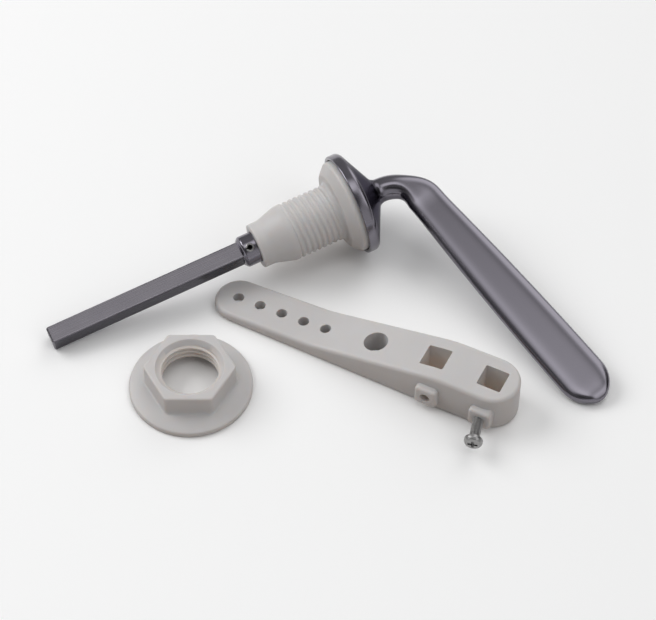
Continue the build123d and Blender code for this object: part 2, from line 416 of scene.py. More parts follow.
# Thread cutter: a geometry tree that sinks a helical groove into the marked rows of a turned mesh
def thread_cutter():
    """Tree whose inputs are the thread's pitch, depth, ends and run-out, along the mesh's own X axis."""
    tree = bpy.data.node_groups.new("thread_cutter", "GeometryNodeTree")
    tree.is_modifier = True
    sockets = (
        ("Mesh", "NodeSocketGeometry"),
        ("Pitch", "NodeSocketFloat"),
        ("Depth", "NodeSocketFloat"),
        ("Start", "NodeSocketFloat"),
        ("End", "NodeSocketFloat"),
        ("Run-out", "NodeSocketFloat"),
        ("Crest share", "NodeSocketFloat"),
        ("Root share", "NodeSocketFloat"),
        ("Finish", "NodeSocketMaterial"),
    )
    for name, kind in sockets:
        tree.interface.new_socket(name, in_out="INPUT", socket_type=kind)
    tree.interface.new_socket("Mesh", in_out="OUTPUT", socket_type="NodeSocketGeometry")
    given = add(tree, "NodeGroupInput").outputs
    spot = add(tree, "GeometryNodeInputPosition").outputs[0]
    place = add(tree, "ShaderNodeSeparateXYZ", {0: spot}).outputs
    angle = add(tree, "ShaderNodeMath", {0: place["Z"], 1: place["Y"]}, operation="ARCTAN2").outputs[0]
    turn = add(tree, "ShaderNodeMath", {0: angle, 1: 2 * math.pi}, operation="DIVIDE").outputs[0]
    pitches = add(tree, "ShaderNodeMath", {0: place["X"], 1: given["Pitch"]}, operation="DIVIDE").outputs[0]
    phase = add(tree, "ShaderNodeMath", {0: pitches, 1: turn}, operation="SUBTRACT").outputs[0]
    wave = add(tree, "ShaderNodeMath", {0: phase, 1: 0.5}, operation="PINGPONG").outputs[0]
    fade = add(
        tree,
        "ShaderNodeMapRange",
        {"Value": wave, "From Min": given["Crest share"], "From Max": given["Root share"]},
        interpolation_type="SMOOTHSTEP",
    ).outputs[0]
    for end, sign in (("Start", "ADD"), ("End", "SUBTRACT")):
        inner = add(tree, "ShaderNodeMath", {0: given[end], 1: given["Run-out"]}, operation=sign).outputs[0]
        share = add(
            tree,
            "ShaderNodeMapRange",
            {"Value": place["X"], "From Min": given[end], "From Max": inner},
            interpolation_type="SMOOTHSTEP",
        ).outputs[0]
        fade = add(tree, "ShaderNodeMath", {0: fade, 1: share}, operation="MULTIPLY").outputs[0]
    marked = add(tree, "GeometryNodeInputNamedAttribute", {"Name": "thread"}, data_type="FLOAT").outputs[0]
    fade = add(tree, "ShaderNodeMath", {0: fade, 1: marked}, operation="MULTIPLY").outputs[0]
    sunk = add(tree, "ShaderNodeMath", {0: fade, 1: given["Depth"]}, operation="MULTIPLY").outputs[0]
    radial = add(tree, "ShaderNodeCombineXYZ", {"Y": place["Y"], "Z": place["Z"]}).outputs[0]
    outward = add(tree, "ShaderNodeVectorMath", {0: radial}, operation="NORMALIZE").outputs[0]
    move = add(tree, "ShaderNodeVectorMath", {0: outward, "Scale": sunk}, operation="SCALE").outputs[0]
    cut = add(tree, "GeometryNodeSetPosition", {"Geometry": given["Mesh"], "Offset": move}).outputs[0]
    whole = add(tree, "GeometryNodeRealizeInstances", {"Geometry": cut}).outputs[0]
    dressing = {"Geometry": whole, "Material": given["Finish"]}
    dressed = add(tree, "GeometryNodeSetMaterial", dressing).outputs[0]
    add(tree, "NodeGroupOutput", {0: dressed})
    return tree


def threaded(mesh, pitch, depth, ends, form, material):
    """The turned mesh with its thread cut, as a plain mesh; a depth below zero goes towards the axis."""
    sizes = {"Pitch": pitch, "Depth": depth, "Start": ends[0], "End": ends[1], "Finish": material, **form}
    turned = link(mesh)
    cutter = turned.modifiers.new("thread", "NODES")
    cutter.node_group = thread_tree
    for item in thread_tree.interface.items_tree:
        if item.in_out == "INPUT" and item.name in sizes:
            cutter[item.identifier] = sizes[item.name]
    cut = settled(turned)
    cut.attributes.remove(cut.attributes["thread"])
    return cut


# Finishes
def finish(name):
    """Material with its node tree, its shader and the object coordinates that its patterns read."""
    material = bpy.data.materials.new(name)
    material.use_nodes = True
    tree = material.node_tree
    tree.nodes.clear()
    shader = add(tree, "ShaderNodeBsdfPrincipled")
    add(tree, "ShaderNodeOutputMaterial", {"Surface": shader.outputs[0]})
    where = add(tree, "ShaderNodeTexCoord").outputs["Object"]
    return material, tree, shader, where


def chrome_plate():
    """Chrome plate on a zinc casting: a dark, faintly violet mirror, blurred a little by the grain of the
    casting under it, so that reflections have soft edges. On the skirt's cone it is painted darker, a
    painted shade that dims the reflection there."""
    material, tree, shader, where = finish("chrome_plated_zinc")
    shader.inputs["Metallic"].default_value = 1
    in_lever = add(
        tree,
        "ShaderNodeMapping",
        {
            "Vector": where,
            "Location": lever_place.to_translation(),
            "Rotation": lever_place.to_euler(),
            "Scale": (MM, MM, MM),
        },
        vector_type="TEXTURE",
    )
    along = add(tree, "ShaderNodeSeparateXYZ", {0: in_lever.outputs[0]}).outputs["X"]
    # Painted shade: the skirt's cone gets a darker base colour and specular tint, so that its reflection
    # shows dimmer
    cone_ends = ((SKIRT_DEPTH - 0.4, SKIRT_DEPTH + 0.8), (NECK_END_X + 1.5, CONE_END_X - 1.5))
    cone_shade = 1.0
    for start, end in cone_ends:
        limits = {"Value": along, "From Min": start, "From Max": end}
        inside = add(tree, "ShaderNodeMapRange", limits, interpolation_type="SMOOTHSTEP").outputs[0]
        cone_shade = add(tree, "ShaderNodeMath", {0: inside, 1: cone_shade}, operation="MULTIPLY").outputs[0]
    plate_tones = (
        ("Base Color", "#7B7880", "#55535A"),
        ("Specular Tint", "#FFFFFF", "#AAA9AE"),
    )
    for socket, full, dark in plate_tones:
        tones = {0: cone_shade, 6: linear(full), 7: linear(dark)}
        tone = add(tree, "ShaderNodeMix", tones, data_type="RGBA")
        tree.links.new(tone.outputs[2], shader.inputs[socket])
    # The casting's real grain is finer; it is drawn as coarse as it needs to show
    wave_mm, grit_mm = 14.0, 0.3
    wave = add(tree, "ShaderNodeTexNoise", {"Vector": where, "Scale": 1 / (wave_mm * MM), "Detail": 1.0})
    grit = add(tree, "ShaderNodeTexNoise", {"Vector": where, "Scale": 1 / (grit_mm * MM), "Detail": 3.0})
    haze = add(
        tree,
        "ShaderNodeMapRange",
        {**NOISE_SPAN, "Value": grit.outputs[0], "To Min": 0.17, "To Max": 0.21},
    )
    tree.links.new(haze.outputs[0], shader.inputs["Roughness"])
    swelling = {"Strength": 0.15, "Distance": 0.05 * MM, "Height": wave.outputs[0]}
    swell = add(tree, "ShaderNodeBump", swelling)
    fine = add(
        tree,
        "ShaderNodeBump",
        {"Strength": 0.08, "Distance": 0.01 * MM, "Height": grit.outputs[0], "Normal": swell.outputs[0]},
    )
    tree.links.new(fine.outputs[0], shader.inputs["Normal"])
    return material


def drawn_bar():
    """Drawn steel bar with satin nickel plate: long faint die lines along the bar, duller than the lever,
    and two sides painted dark, a painted shade that stands for the dark they would mirror."""
    material, tree, shader, where = finish("nickel_plated_drawn_bar")
    shader.inputs["Metallic"].default_value = 1
    # Real die lines are finer; they are drawn as coarse as they need to show
    line_mm, run_mm, stain_mm = 0.35, 40.0, 7.0
    along = add(
        tree,
        "ShaderNodeMapping",
        {"Vector": where, "Rotation": lever_place.to_euler()},
        vector_type="TEXTURE",
    )
    stretched = add(
        tree,
        "ShaderNodeMapping",
        {"Vector": along.outputs[0], "Scale": (1 / (run_mm * MM), 1 / (line_mm * MM), 1 / (line_mm * MM))},
    )
    lines = add(tree, "ShaderNodeTexNoise", {"Vector": stretched.outputs[0], "Scale": 1.0, "Detail": 3.0})
    stain = add(tree, "ShaderNodeTexNoise", {"Vector": where, "Scale": 1 / (stain_mm * MM), "Detail": 4.0})
    tone = add(
        tree,
        "ShaderNodeMix",
        {0: stain.outputs[0], 6: linear("#7F7C83"), 7: linear("#8A878D")},
        data_type="RGBA",
    )
    # Painted shade: faces that look across the lever, to either side, get a dark base colour
    facing = add(tree, "ShaderNodeTexCoord").outputs["Normal"]
    side_way = (lever_place.to_3x3() @ Vector((0, 1, 0))).normalized()
    facings = {0: facing, 1: side_way}
    sideways = add(tree, "ShaderNodeVectorMath", facings, operation="DOT_PRODUCT").outputs["Value"]
    on_side = add(tree, "ShaderNodeMath", {0: sideways}, operation="ABSOLUTE").outputs[0]
    limits = {"Value": on_side, "From Min": 0.6, "From Max": 0.9}
    painted_side_shade = add(tree, "ShaderNodeMapRange", limits).outputs[0]
    whole = add(
        tree,
        "ShaderNodeMix",
        {0: painted_side_shade, 6: tone.outputs[2], 7: linear("#55535A")},
        data_type="RGBA",
    )
    tree.links.new(whole.outputs[2], shader.inputs["Base Color"])
    dull = add(
        tree,
        "ShaderNodeMapRange",
        {**NOISE_SPAN, "Value": lines.outputs[0], "To Min": 0.2, "To Max": 0.32},
    )
    tree.links.new(dull.outputs[0], shader.inputs["Roughness"])
    die_marks = {"Strength": 0.3, "Distance": 0.02 * MM, "Height": lines.outputs[0]}
    drawn = add(tree, "ShaderNodeBump", die_marks)
    tree.links.new(drawn.outputs[0], shader.inputs["Normal"])
    return material


def plain_steel():
    """Zinc-plated steel of small fixings: grey, dull, with slight stains."""
    material, tree, shader, where = finish("zinc_plated_steel")
    shader.inputs["Metallic"].default_value = 1
    # The plate's real grain is finer; it is drawn as coarse as it needs to show
    stain_mm, grain_mm = 1.2, 0.2
    stain = add(tree, "ShaderNodeTexNoise", {"Vector": where, "Scale": 1 / (stain_mm * MM), "Detail": 4.0})
    grain = add(tree, "ShaderNodeTexNoise", {"Vector": where, "Scale": 1 / (grain_mm * MM), "Detail": 2.0})
    tone = add(
        tree,
        "ShaderNodeMix",
        {0: stain.outputs[0], 6: linear("#8A8988"), 7: linear("#A9A8A8")},
        data_type="RGBA",
    )
    tree.links.new(tone.outputs[2], shader.inputs["Base Color"])
    dull = add(
        tree,
        "ShaderNodeMapRange",
        {**NOISE_SPAN, "Value": stain.outputs[0], "To Min": 0.28, "To Max": 0.42},
    )
    tree.links.new(dull.outputs[0], shader.inputs["Roughness"])
    pits = {"Strength": 0.25, "Distance": 0.02 * MM, "Height": grain.outputs[0]}
    pitted = add(tree, "ShaderNodeBump", pits)
    tree.links.new(pitted.outputs[0], shader.inputs["Normal"])
    return material


def moulded_nylon():
    """White moulded nylon: satin, a little light enters its edges, with a fine spark-eroded mould grain and
    slight cloudiness from the melt. In its hollows it is painted lighter and creamy: painted light for the
    warm light that bounces about inside them."""
    material, tree, shader, where = finish("moulded_white_nylon")
    shader.inputs["IOR"].default_value = 1.53
    shader.inputs["Subsurface Weight"].default_value = 0.6
    shader.inputs["Subsurface Radius"].default_value = (1.0, 0.7, 0.52)
    shader.inputs["Subsurface Scale"].default_value = 1.8 * MM
    # The mould's real grain is finer; it is drawn as coarse as it needs to show
    cloud_mm, grain_mm, sink_mm = 14.0, 0.3, 5.0
    cloud = add(tree, "ShaderNodeTexNoise", {"Vector": where, "Scale": 1 / (cloud_mm * MM), "Detail": 3.0})
    grain = add(tree, "ShaderNodeTexNoise", {"Vector": where, "Scale": 1 / (grain_mm * MM), "Detail": 2.0})
    sink = add(tree, "ShaderNodeTexNoise", {"Vector": where, "Scale": 1 / (sink_mm * MM), "Detail": 1.0})
    tone = add(
        tree,
        "ShaderNodeMix",
        {0: cloud.outputs[0], 6: linear("#C4C1C0"), 7: linear("#CBC9C9")},
        data_type="RGBA",
    )
    # Painted light: points marked as lying in hollows get a lighter, creamy colour
    hollow_painted_light = add(tree, "ShaderNodeAttribute", attribute_name="hollow_painted_light", attribute_type="GEOMETRY")
    shade = add(
        tree,
        "ShaderNodeMix",
        {0: hollow_painted_light.outputs["Fac"], 6: tone.outputs[2], 7: linear("#FFF1E4")},
        data_type="RGBA",
    )
    tree.links.new(shade.outputs[2], shader.inputs["Base Color"])
    satin = add(
        tree,
        "ShaderNodeMapRange",
        {**NOISE_SPAN, "Value": cloud.outputs[0], "To Min": 0.4, "To Max": 0.52},
    )
    tree.links.new(satin.outputs[0], shader.inputs["Roughness"])
    sunk = add(tree, "ShaderNodeBump", {"Strength": 0.2, "Distance": 0.1 * MM, "Height": sink.outputs[0]})
    grained = add(
        tree,
        "ShaderNodeBump",
        {"Strength": 0.25, "Distance": 0.02 * MM, "Height": grain.outputs[0], "Normal": sunk.outputs[0]},
    )
    tree.links.new(grained.outputs[0], shader.inputs["Normal"])
    return material


def bore_shadow_finish():
    """A nearly black finish, a painted shadow for the dark seen down the pin's bore, with a dull shine in
    patches.
    """
    material, tree, shader, where = finish("painted_bore_shadow")
    patch_mm = 0.6
    spots = {"Vector": where, "Scale": 1 / (patch_mm * MM), "Detail": 2.0}
    patches = add(tree, "ShaderNodeTexNoise", spots)
    tone = add(
        tree,
        "ShaderNodeMix",
        {0: patches.outputs[0], 6: linear("#141312"), 7: linear("#24221F")},
        data_type="RGBA",
    )
    tree.links.new(tone.outputs[2], shader.inputs["Base Color"])
    shine = add(
        tree,
        "ShaderNodeMapRange",
        {**NOISE_SPAN, "Value": patches.outputs[0], "To Min": 0.45, "To Max": 0.7},
    )
    tree.links.new(shine.outputs[0], shader.inputs["Roughness"])
    return material


chrome = chrome_plate()
bore_shadow_paint = bore_shadow_finish()
bar_plate = drawn_bar()
steel = plain_steel()
nylon = moulded_nylon()
thread_tree = thread_cutter()


# Lever casting
def quarter_round(across, up, crown=2.0, side=2.0):
    """Quarter outline from the side's middle to the top's: round at powers of 2, flatter at higher ones."""
    a = np.linspace(0, math.pi / 2, QUARTER_POINTS)
    outline = np.stack([across * np.cos(a) ** (2 / crown), up * np.sin(a) ** (2 / side)], axis=1)
    outline[-1, 0] = 0
    return even_steps(outline, LEVER_QUARTER)


def lever_ring(quarter, centre, side_way):
    """Ring from a quarter outline, mirrored both ways: across along side_way, up along the lever's Z."""
    there, back = quarter[:-1], quarter[:0:-1]
    flat = np.concatenate([there, back * (-1, 1), there * (-1, -1), back * (1, -1)])
    return np.asarray(centre) + flat[:, :1] * np.asarray(side_way) + flat[:, 1:] * np.array((0, 0, 1.0))


def square_quarter(half, corner):
    """Quarter outline of the square socket."""
    a = np.linspace(0, math.pi / 2, SOCKET_ARC_POINTS)
    arc = np.stack([half - corner + corner * np.cos(a), half - corner + corner * np.sin(a)], axis=1)
    return even_steps(np.concatenate([[(half, 0)], arc, [(0, half)]]), LEVER_QUARTER)


def eased(share):
    """Share from 0 to 1 that starts and ends with no slope and no curvature."""
    share = min(max(share, 0), 1)
    return share ** 3 * (share * (6 * share - 15) + 10)


# Where the bend ends in the blade's root, and the ways that the blade runs from there
bend_turn = math.radians(90 - BLADE_SPLAY)
bend_length = BEND_R * bend_turn
blade_root = np.array((NECK_END_X + BEND_R * math.sin(bend_turn), -BEND_R * (1 - math.cos(bend_turn)), 0))
splay = math.radians(BLADE_SPLAY)
blade_way = np.array((math.sin(splay), -math.cos(splay), 0))
blade_side_way = (math.cos(splay), math.sin(splay), 0)
blade_length = BLADE_TIP_AT + blade_root[1] / math.cos(splay) - BLADE_TIP_LENGTH


def socket_rings():
    """Rings of the bar's socket: its bottom, and its mouth, which follows the slope of the shank's end."""
    square = square_quarter(BAR_SOCKET / 2, BAR_SOCKET_CORNER)
    bottom = lever_ring(square, (SHANK_END_X + BAR_SOCKET_DEPTH, 0, 0), (0, 1, 0))
    mouth = lever_ring(square, (SHANK_END_X, 0, 0), (0, 1, 0))
    mouth[:, 0] += np.maximum(0, np.hypot(mouth[:, 1], mouth[:, 2]) - (SHANK_R - SHANK_EDGE))
    return [bottom, mouth]


def turned_rings():
    """Rings of the shank, the skirt and its cone; the last corner only guides the rounding before it."""
    outline = rounded(
        [
            (SHANK_END_X + SHANK_FACE_R - (SHANK_R - SHANK_EDGE), SHANK_FACE_R, 0),
            (SHANK_END_X + SHANK_EDGE, SHANK_R, SHANK_EDGE_R),
            (SEAT_DEPTH, SHANK_R, SEAT_FILLET),
            (SEAT_DEPTH, SKIRT_R - SKIRT_WALL, SEAT_FILLET),
            (0, SKIRT_R - SKIRT_WALL, SKIRT_LIP_R),
            (0, SKIRT_R, SKIRT_LIP_R),
            (SKIRT_DEPTH, SKIRT_R, SKIRT_EDGE_R),
            (CONE_END_X, NECK_R, CONE_NECK_R),
            (NECK_END_X + NECK_GUIDE, NECK_R, 0),
        ],
        steps=LEVER_ROUND_STEPS,
    )[:-1]
    return [lever_ring(quarter_round(r, r), (x, 0, 0), (0, 1, 0)) for x, r in outline]


def lever_section(across, along):
    """Quarter outline at a distance along the bend: the neck's round goes over into the flat blade."""
    flat = eased((along - THIN_FROM) / (bend_length + THIN_ON - THIN_FROM))
    up = NECK_R + (BLADE_HALF_T - NECK_R) * flat
    return quarter_round(across, up, 2 + (BLADE_CROWN - 2) * flat, 2 + (BLADE_SIDE - 2) * flat)


def bend_rings(past_x):
    """Rings round the bend from a given place on, wider from the neck to the blade's root."""
    rings = []
    for step in range(BEND_RINGS + 1):
        share = step / BEND_RINGS
        a = bend_turn * share
        widened = eased((share - BEND_NECK_SHARE) / (1 - BEND_NECK_SHARE))
        across = NECK_R + (BLADE_ROOT_W / 2 - NECK_R) * widened
        centre = (NECK_END_X + BEND_R * math.sin(a), -BEND_R * (1 - math.cos(a)), 0)
        side_way = (math.sin(a), math.cos(a), 0)
        if centre[0] > past_x:
            rings.append(lever_ring(lever_section(across, a * BEND_R), centre, side_way))
    return rings


def blade_rings():
    """Rings along the blade, each side of which is a hollow arc at the root and a full one after it."""
    root_w = BLADE_ROOT_W / 2
    wide = BLADE_WIDE / 2
    side_turn = 2 * math.atan((wide - root_w) / blade_length)
    side_r = blade_length / math.sin(side_turn) - BLADE_ROOT_R
    rings = []
    for at in np.linspace(0, blade_length, BLADE_RINGS)[1:]:
        if at < BLADE_ROOT_R * math.sin(side_turn):
            across = root_w + BLADE_ROOT_R - math.sqrt(BLADE_ROOT_R ** 2 - at ** 2)
        else:
            across = wide - side_r + math.sqrt(side_r ** 2 - (blade_length - at) ** 2)
        outline = lever_section(across, bend_length + at)
        rings.append(lever_ring(outline, blade_root + blade_way * at, blade_side_way))
    return rings


def tip_rings():
    """Rings of the blade's tip, whose plan is a shoulder arc on each side and a round nose."""
    wide = BLADE_WIDE / 2
    nose_at = BLADE_TIP_LENGTH - BLADE_NOSE_R
    shoulder_r = (nose_at ** 2 + wide ** 2 - BLADE_NOSE_R ** 2) / (2 * (wide - BLADE_NOSE_R))
    shoulder_turn = math.asin(nose_at / (shoulder_r - BLADE_NOSE_R))
    plan = []
    for a in np.linspace(0, shoulder_turn, SHOULDER_RINGS)[1:]:
        plan.append((shoulder_r * math.sin(a), wide - shoulder_r * (1 - math.cos(a))))
    for a in np.linspace(shoulder_turn, NOSE_END, NOSE_RINGS)[1:]:
        plan.append((nose_at + BLADE_NOSE_R * math.sin(a), BLADE_NOSE_R * math.cos(a)))
    rings = []
    for at, across in plan:
        up = BLADE_HALF_T * (1 - (at / BLADE_TIP_LENGTH) ** BLADE_CROWN) ** (1 / BLADE_SIDE)
        outline = quarter_round(across, up, BLADE_CROWN, BLADE_SIDE)
        rings.append(lever_ring(outline, blade_root + blade_way * (blade_length + at), blade_side_way))
    return rings


def lever_rings():
    """Rings from the bottom of the bar's socket, out over the shank and skirt, to the tip of the blade."""
    turned = turned_rings()
    past_x = max(NECK_END_X, turned[-1][0, 0] + RING_GAP)
    return socket_rings() + turned + bend_rings(past_x) + blade_rings() + tip_rings()


def round_bar(name, r, length, columns):
    """Plain round bar along its own Z."""
    work = bmesh.new()
    bmesh.ops.create_cone(work, cap_ends=True, segments=columns, radius1=r, radius2=r, depth=length)
    mesh = bpy.data.meshes.new(name)
    work.to_mesh(mesh)
    work.free()
    return mesh


lever_mesh = skin("lever_casting", lever_rings())
pin_spot = Matrix.Translation((PIN_X, 0, 0)) @ Matrix.Rotation(math.radians(PIN_TURN), 4, "X")
pin_drill = round_bar("pin_drill", PIN_HOLE_R, 4 * SHANK_R, DRILL_COLUMNS)
pin_drill.transform(pin_spot)
lever_mesh = joined(lever_mesh, [pin_drill], "DIFFERENCE")
piece(lever_mesh, "lever_casting", lever_place, chrome, "lever", "lever_handle")

# A black plug in the bore of the pin, a painted shadow for the dark seen down the bore; its end shows as a
# black dot
shadow_plug_mesh = round_bar("pin_shadow_plug", PIN_BORE_R, PIN_SHADOW_PLUG, SMALL_BORE_COLUMNS)
piece(shadow_plug_mesh, "pin_shadow_plug", lever_place @ pin_spot, bore_shadow_paint, "lever")


def mark_painted_hollow_light(made, place, inside, share):
    """Marks the points of a nylon piece that lie in its hollows, by their place in its own millimetres; the
    mark sets how much painted light they get.
    """
    to_piece = place.inverted()
    marks = [share * inside(to_piece @ vert.co) for vert in made.data.vertices]
    made.data.attributes.new("hollow_painted_light", "FLOAT", "POINT").data.foreach_set("value", marks)


# Threaded bush, turned about the spindle axis
def lathe_rings(outline, columns):
    """Rings of an (x, r) outline about the X axis; r may be one radius or one for each column."""
    a = np.arange(columns) * 2 * math.pi / columns
    return [np.stack([np.full(columns, x), r * np.cos(a), r * np.sin(a)], axis=1) for x, r in outline]


def with_thread_rows(before, start, end, r, pitch, after):
    """Outline with close rows along the thread, and the numbers of those rows."""
    rows = int(abs(end - start) / pitch * ROWS_PER_TURN)
    middle = np.stack([np.linspace(start, end, rows), np.full(rows, r)], axis=1)
    outline = np.concatenate([before, middle, after])
    return outline, range(len(before), len(before) + rows)


flange = rounded(
    [
        (BUSH_SEAM_X, BUSH_BORE_R, 0),
        (FLANGE_FACE_X, BUSH_BORE_R, FLANGE_EDGE_R),
        (FLANGE_FACE_X, FLANGE_R, FLANGE_EDGE_R),
        (FLANGE_SLOPE_X, FLANGE_R, FLANGE_BACK_R),
        (FLANGE_BACK_X, FLANGE_SLOPE_R, FLANGE_BACK_R),
        (FLANGE_BACK_X, THREAD_R, FLANGE_BACK_R),
        (BUSH_THREAD_END_X, THREAD_R, 0),
    ]
)[:-1]
nose = rounded(
    [
        (FLANGE_BACK_X, THREAD_R, 0),
        (BUSH_THREAD_END_X, THREAD_R, BUSH_CONE_R),
        (BUSH_CONE_X, BUSH_NOSE_R, BUSH_CONE_R),
        (BUSH_NOSE_X, BUSH_NOSE_R, BUSH_NOSE_EDGE_R),
        (BUSH_NOSE_X, BUSH_BORE_R, BUSH_MOUTH_R),
        (BUSH_SEAM_X, BUSH_BORE_R, 0),
    ]
)[1:-1]
thread_start = flange[-1][0] - BUSH_ROW_GAP
thread_end = nose[0][0] + BUSH_ROW_GAP
bush_outline, bush_rows = with_thread_rows(flange, thread_start, thread_end, THREAD_R, THREAD_PITCH, nose)
bush_mesh = skin("bush", lathe_rings(bush_outline, BUSH_COLUMNS), loop=True, thread_rows=bush_rows)
bush_ends = (thread_end, thread_start)
bush_mesh = threaded(bush_mesh, THREAD_PITCH, -BUSH_GROOVE, bush_ends, BUSH_THREAD_FORM, nylon)
piece(bush_mesh, "bush", lever_place, nylon, "bush_and_loose_pieces", "threaded_bush")


# Back nut: rings that pass from the round flange to the hexagon, then back round for the bore
def hexagon_reach(a):
    """Distance from the nut's middle to its rounded hexagon, at each angle."""
    a = a % (math.pi / 3) - math.pi / 6
    inner = NUT_FLAT_R - NUT_CORNER_R
    half_side = inner * math.tan(math.pi / 6)
    off = np.abs(a) - math.pi / 6
    middle = inner / math.cos(math.pi / 6)
    corner = middle * np.cos(off) + np.sqrt(np.maximum(0, NUT_CORNER_R ** 2 - (middle * np.sin(off)) ** 2))
    return np.where(np.abs(np.tan(a)) * NUT_FLAT_R <= half_side, NUT_FLAT_R / np.cos(a), corner)


def nut_mesh_rings():
    """Rings of the nut along X, from the recess over the flange to the bore, and which are threaded."""
    hexagon = hexagon_reach(np.arange(NUT_COLUMNS) * 2 * math.pi / NUT_COLUMNS)
    rows = rounded(
        [
            (NUT_RECESS_Z, NUT_RECESS_R, 0),
            (0, NUT_RECESS_R, NUT_RECESS_EDGE),
            (0, NUT_FLANGE_R, NUT_RIM_FOOT_R),
            (NUT_RIM_T, NUT_FLANGE_R, NUT_RIM_TOP_R),
            (NUT_ROOT_Z, NUT_SLOPE_END_R, 0),
        ]
    ).tolist()
    turns = np.linspace(0, math.pi / 2, NUT_EDGE_POINTS)
    for t in turns:
        reach = np.minimum(hexagon + NUT_FOOT_FILLET * (1 - math.sin(t)), NUT_FOOT_MAX_R)
        rows.append((NUT_ROOT_Z + NUT_FOOT_FILLET * (1 - math.cos(t)), reach))
    for t in turns:
        height = NUT_HEIGHT - NUT_TOP_EDGE * (1 - math.sin(t))
        rows.append((height, hexagon - NUT_TOP_EDGE * (1 - math.cos(t))))
    lead_in = rounded(
        [
            (NUT_HEIGHT, NUT_FLAT_R - NUT_TOP_EDGE, 0),
            (NUT_HEIGHT, NUT_BORE_R + NUT_LEAD_IN, NUT_LEAD_EDGE_R),
            (NUT_HEIGHT - NUT_LEAD_IN, NUT_BORE_R, NUT_LEAD_EDGE_R),
            (NUT_RECESS_Z, NUT_BORE_R, 0),
        ]
    )[1:-1].tolist()
    first = len(rows)
    rows += lead_in
    start = lead_in[-1][0] - NUT_ROW_GAP
    end = NUT_RECESS_Z + NUT_RECESS_EDGE
    count = int((start - end) / THREAD_PITCH * ROWS_PER_TURN)
    rows += [(z, NUT_BORE_R) for z in np.linspace(start, end, count)]
    thread_rows = range(first, len(rows))
    rows.append((NUT_RECESS_Z, NUT_BORE_R + NUT_RECESS_EDGE))
    return lathe_rings(rows, NUT_COLUMNS), thread_rows


nut_rings, nut_thread_rows = nut_mesh_rings()
nut_mesh = skin("nut", nut_rings, loop=True, thread_rows=nut_thread_rows)
nut_ends = (NUT_RECESS_Z + NUT_RECESS_EDGE, NUT_THREAD_TOP)
nut_mesh = threaded(nut_mesh, THREAD_PITCH, THREAD_DEPTH, nut_ends, NUT_THREAD_FORM, nylon)
nut_stood = nut_place @ upright
nut = piece(nut_mesh, "nut", nut_stood, nylon, "bush_and_loose_pieces", "back_nut")


def in_bore(spot):
    """Whether a point of the nut is on the wall of its bore."""
    return math.hypot(spot.x, spot.y) < NUT_BORE_R + THREAD_DEPTH + NUT_WALL_SLACK


# Painted light: the wall of the nut's bore gets part of the lighter, creamy colour
mark_painted_hollow_light(nut, nut_place, in_bore, share=0.3)


# Arm: rounded plan raised to its full height, then let down to the side outline
def arm_top(x):
    """Height of the arm's top above the floor, along its length, its two bends blended."""
    low = (ARM_LINK_T - ARM_TIP_T) / (ARM_LINK_END - ARM_SLOPE_X)
    steep = (ARM_HEAD_T - ARM_LINK_T) / (ARM_RAMP_END - ARM_LINK_END)
    height = ARM_TIP_T + low * (x - ARM_SLOPE_X)
    ramp = ARM_LINK_T + steep * (x - ARM_LINK_END)
    reach_low = ARM_BLEND_R * math.tan((math.atan(steep) - math.atan(low)) / 2)
    reach_high = ARM_BLEND_R * math.tan(math.atan(steep) / 2)
    if x < ARM_LINK_END - reach_low:
        return height
    if x < ARM_LINK_END + reach_low:
        share = (x - ARM_LINK_END + reach_low) / (2 * reach_low)
        return height + (steep - low) * reach_low * share * share
    if x < ARM_RAMP_END - reach_high:
        return ramp
    if x < ARM_RAMP_END + reach_high:
        share = (x - ARM_RAMP_END + reach_high) / (2 * reach_high)
        return ramp - steep * reach_high * share * share
    return ARM_HEAD_T


def arm_plan():
    """Plan of the arm: two round ends joined by their tangents."""
    lean = math.asin((ARM_WIDE_R - ARM_NARROW_R) / ARM_CENTRES)
    points = []
    for x, r, start, end in (
        (ARM_CENTRES, ARM_WIDE_R, -math.pi / 2 - lean, math.pi / 2 + lean),
        (0, ARM_NARROW_R, math.pi / 2 + lean, 3 * math.pi / 2 - lean),
    ):
        turns = np.linspace(start, end, ARM_END_POINTS)
        points += [(x + r * math.cos(a), r * math.sin(a)) for a in turns]
    return points


def at_height(outline, z):
    """Ring of a flat outline at a height."""
    return np.array([(x, y, z) for x, y in outline])


def rounded_square(middle, side, corner, steps=6):
    """Outline of a square with rounded corners."""
    half = side / 2 - corner
    points = []
    for i, (sx, sy) in enumerate(((1, 1), (-1, 1), (-1, -1), (1, -1))):
        for a in np.linspace(i * math.pi / 2, (i + 1) * math.pi / 2, steps + 1):
            x = middle[0] + sx * half + corner * math.cos(a)
            y = middle[1] + sy * half + corner * math.sin(a)
            points.append((x, y))
    return points


